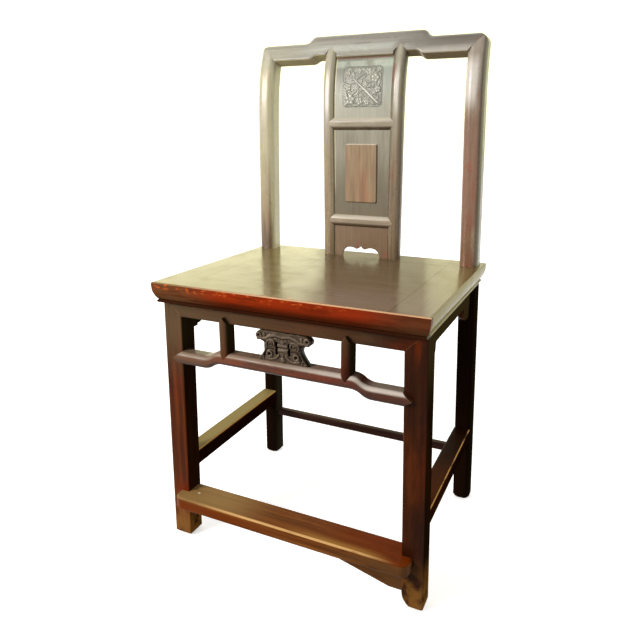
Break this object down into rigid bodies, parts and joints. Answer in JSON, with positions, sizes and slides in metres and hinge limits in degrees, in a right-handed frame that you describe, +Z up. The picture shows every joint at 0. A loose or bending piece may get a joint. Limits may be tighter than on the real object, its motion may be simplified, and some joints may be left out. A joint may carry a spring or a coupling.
{
  "type": "side chair",
  "caption": "Chinese lacquered wood side chair with a framed and carved splat, a stepped crest rail, a flat panelled seat, a humpback front stretcher and a footrest.",
  "frame": {"origin": "on the floor, at the centre of the bounding box seen from above", "axes": "+X to the right for someone looking at the front, +Y from the front to the back, +Z up"},
  "size_m": [0.4956, 0.4028, 0.9193],
  "materials": {
    "frame_lacquer": "aged dark red-brown lacquer, satin",
    "back_lacquer": "aged brown lacquer, semi-gloss",
    "seat_lacquer": "polished brown lacquer, semi-gloss",
    "seat_edge_lacquer": "worn red-brown lacquer, semi-gloss",
    "footrest_wood": "worn brown lacquer, bare along the front edge",
    "tablet_wood": "figured red-brown wood, satin",
    "carving_wood": "dark carved wood, satin",
    "peg_wood": "bare pale wood",
    "bare_wood": "bare underside wood"
  },
  "bodies": {
    "root": {"back_apron": "frame_lacquer", "back_post_left": "back_lacquer", "back_post_right": "back_lacquer", "back_stretcher": "frame_lacquer", "carved_ornament": "carving_wood", "crest_rail": "back_lacquer", "footrest": "footrest_wood", "footrest_bracket": "footrest_wood", "footrest_peg_left": "peg_wood", "footrest_peg_right": "peg_wood", "front_apron_rail": "frame_lacquer", "front_leg_left": "frame_lacquer", "front_leg_right": "frame_lacquer", "humpback_stretcher": "frame_lacquer", "panel_tablet": "tablet_wood", "seat_batten_left": "bare_wood", "seat_batten_right": "bare_wood", "seat_panel": "seat_lacquer", "seat_rail_back": "seat_lacquer", "seat_rail_front": "seat_edge_lacquer", "seat_rail_left": "seat_lacquer", "seat_rail_right": "seat_lacquer", "side_apron_left": "frame_lacquer", "side_apron_right": "frame_lacquer", "side_stretcher_left": "frame_lacquer", "side_stretcher_right": "frame_lacquer", "splat_panel_lower": "back_lacquer", "splat_panel_middle": "back_lacquer", "splat_panel_upper": "back_lacquer", "splat_rail_lower": "back_lacquer", "splat_rail_upper": "back_lacquer", "splat_stile_left": "back_lacquer", "splat_stile_right": "back_lacquer", "strut_left": "frame_lacquer", "strut_right": "frame_lacquer"}
  },
  "joints": []
}
